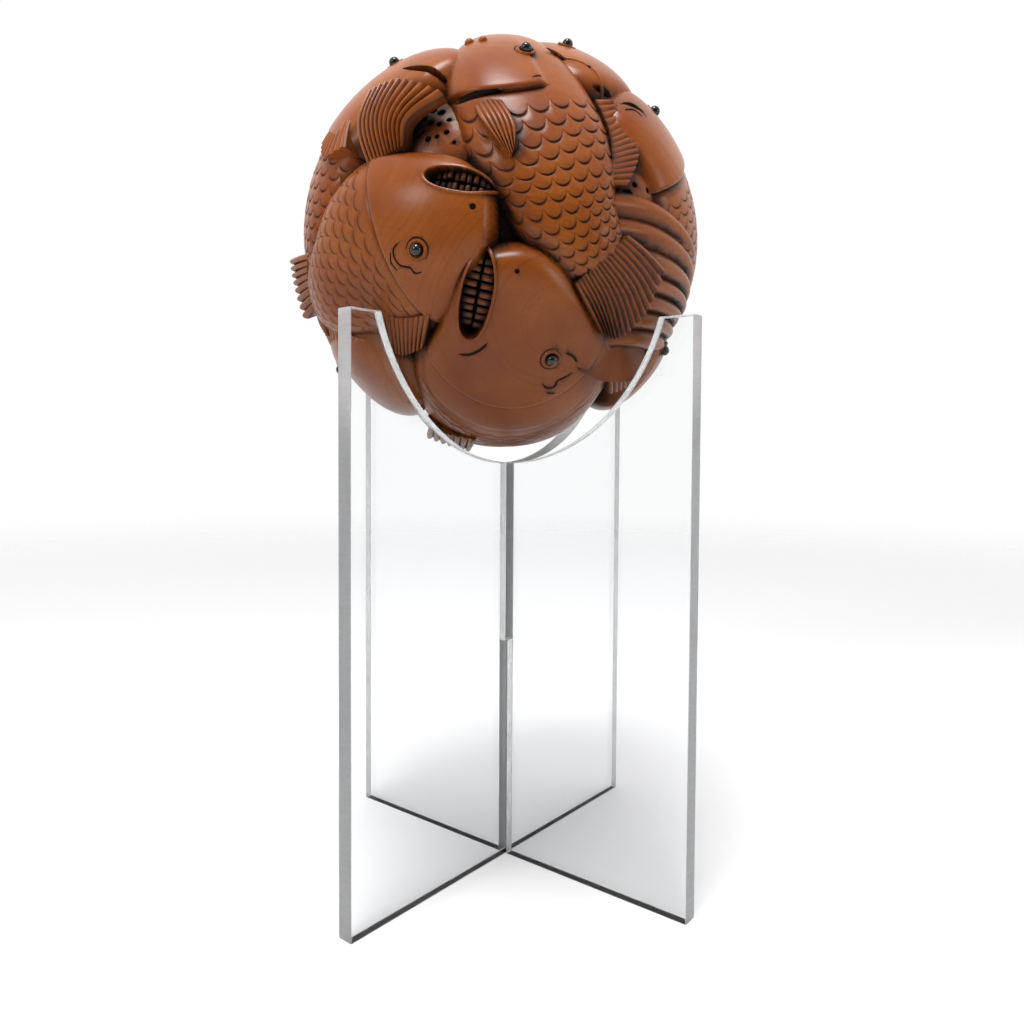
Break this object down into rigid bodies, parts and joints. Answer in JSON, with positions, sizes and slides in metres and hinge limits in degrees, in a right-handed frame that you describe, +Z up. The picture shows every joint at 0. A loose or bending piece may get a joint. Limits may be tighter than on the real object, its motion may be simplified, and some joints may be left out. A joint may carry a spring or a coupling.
{
  "type": "carved wooden ball on stand",
  "caption": "Boxwood ball carved as entwined carp with black bead eyes, resting in the arched notches of a tall crossed stand of clear acrylic sheet.",
  "frame": {"origin": "on the floor, at the crossing of the two stand plates", "axes": "+Z up; the plates lie on the diagonals of X and Y; -Y faces the side shown in the picture"},
  "size_m": [0.1114, 0.1111, 0.2282],
  "materials": {
    "boxwood": "oiled and polished by hand, satin, dark in the recesses",
    "bead_black": "glossy black",
    "acrylic_clear": "clear polished faces, sawn edges"
  },
  "bodies": {
    "root": {"carved_ball": "boxwood", "eye_01": "bead_black", "eye_02": "bead_black", "eye_03": "bead_black", "eye_04": "bead_black", "eye_05": "bead_black", "eye_06": "bead_black", "eye_07": "bead_black", "eye_08": "bead_black", "eye_09": "bead_black", "eye_10": "bead_black", "eye_11": "bead_black", "stand_plate_a": "acrylic_clear", "stand_plate_b": "acrylic_clear"}
  },
  "joints": []
}
